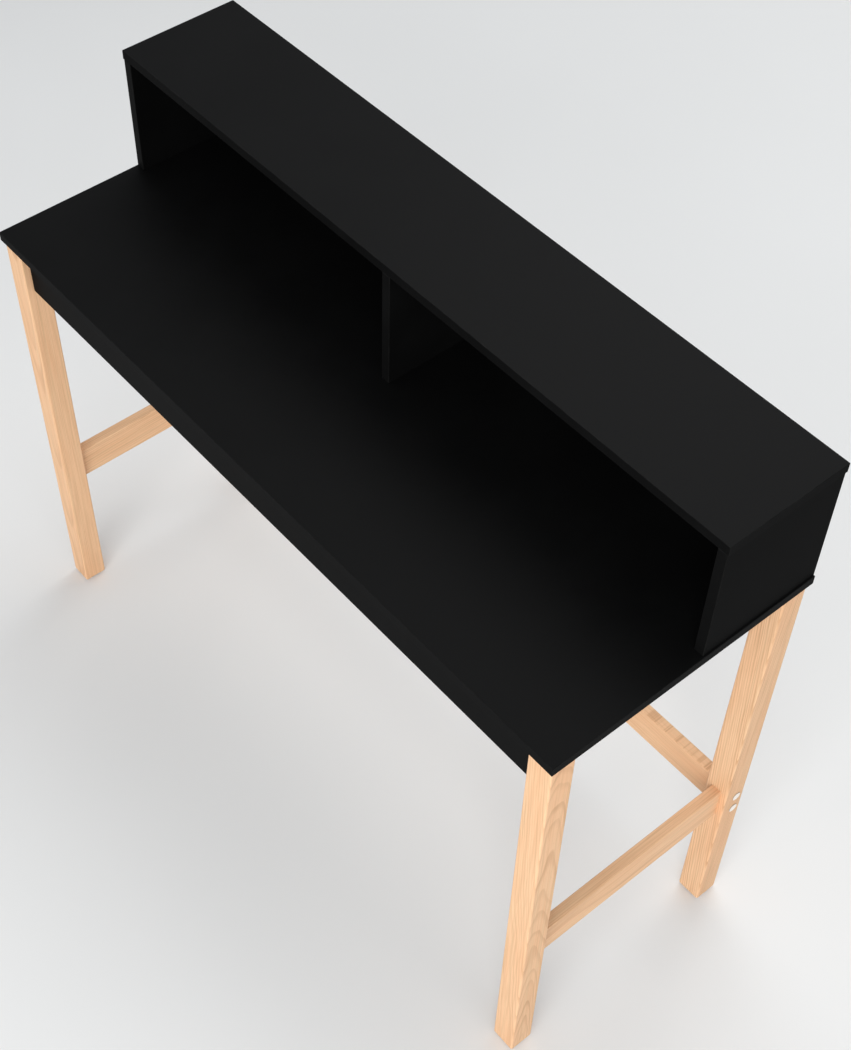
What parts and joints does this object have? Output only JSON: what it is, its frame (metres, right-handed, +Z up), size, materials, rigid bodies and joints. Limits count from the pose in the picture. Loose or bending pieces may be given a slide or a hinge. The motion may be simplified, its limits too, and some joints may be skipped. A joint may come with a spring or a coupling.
{
  "type": "desk with hutch",
  "caption": "Narrow writing desk with black boards on natural wood legs, and a low open shelf hutch with a middle divider standing along the rear of the desktop.",
  "frame": {"origin": "middle of the footprint, on the floor", "axes": "+Z up; the front, where one sits, faces -Y; X runs along the length of the desk"},
  "size_m": [1.2, 0.446, 1.007],
  "materials": {
    "black_board": "matt black melamine on particle board, with matching edge banding",
    "black_hardboard": "black painted hardboard",
    "natural_wood": "pale solid wood, clear matt lacquer",
    "dowel_wood": "raw beech",
    "zinc_cam": "die-cast zinc",
    "zinc_steel": "zinc plated steel",
    "cap_plastic": "cream plastic, satin",
    "glide_plastic": "dark nylon"
  },
  "bodies": {
    "root": {"desktop": "black_board", "front_apron": "black_board", "rear_apron": "black_board", "hutch_top": "black_board", "hutch_side_left": "black_board", "hutch_side_right": "black_board", "hutch_divider": "black_board", "hutch_back_panel": "black_hardboard", "leg_front_left": "natural_wood", "leg_front_right": "natural_wood", "leg_rear_left": "natural_wood", "leg_rear_right": "natural_wood", "side_stretcher_left": "natural_wood", "side_stretcher_right": "natural_wood", "rear_stretcher": "natural_wood", "side_stretcher_dowels": "dowel_wood", "apron_dowels": "dowel_wood", "hutch_foot_dowels": "dowel_wood", "hutch_top_dowels": "dowel_wood", "apron_cam_locks": "zinc_cam", "hutch_cam_locks": "zinc_cam", "apron_cam_pegs": "zinc_steel", "hutch_cam_pegs": "zinc_steel", "stretcher_bolts": "zinc_steel", "stretcher_barrel_nuts": "zinc_steel", "leg_bracket_front_left": "zinc_steel", "leg_bracket_front_right": "zinc_steel", "leg_bracket_rear_left": "zinc_steel", "leg_bracket_rear_right": "zinc_steel", "bracket_leg_screws": "zinc_steel", "bracket_top_screws": "zinc_steel", "hutch_foot_screws": "zinc_steel", "glide_nails": "zinc_steel", "stretcher_bolt_caps": "cap_plastic", "leg_glides": "glide_plastic"}
  },
  "joints": []
}
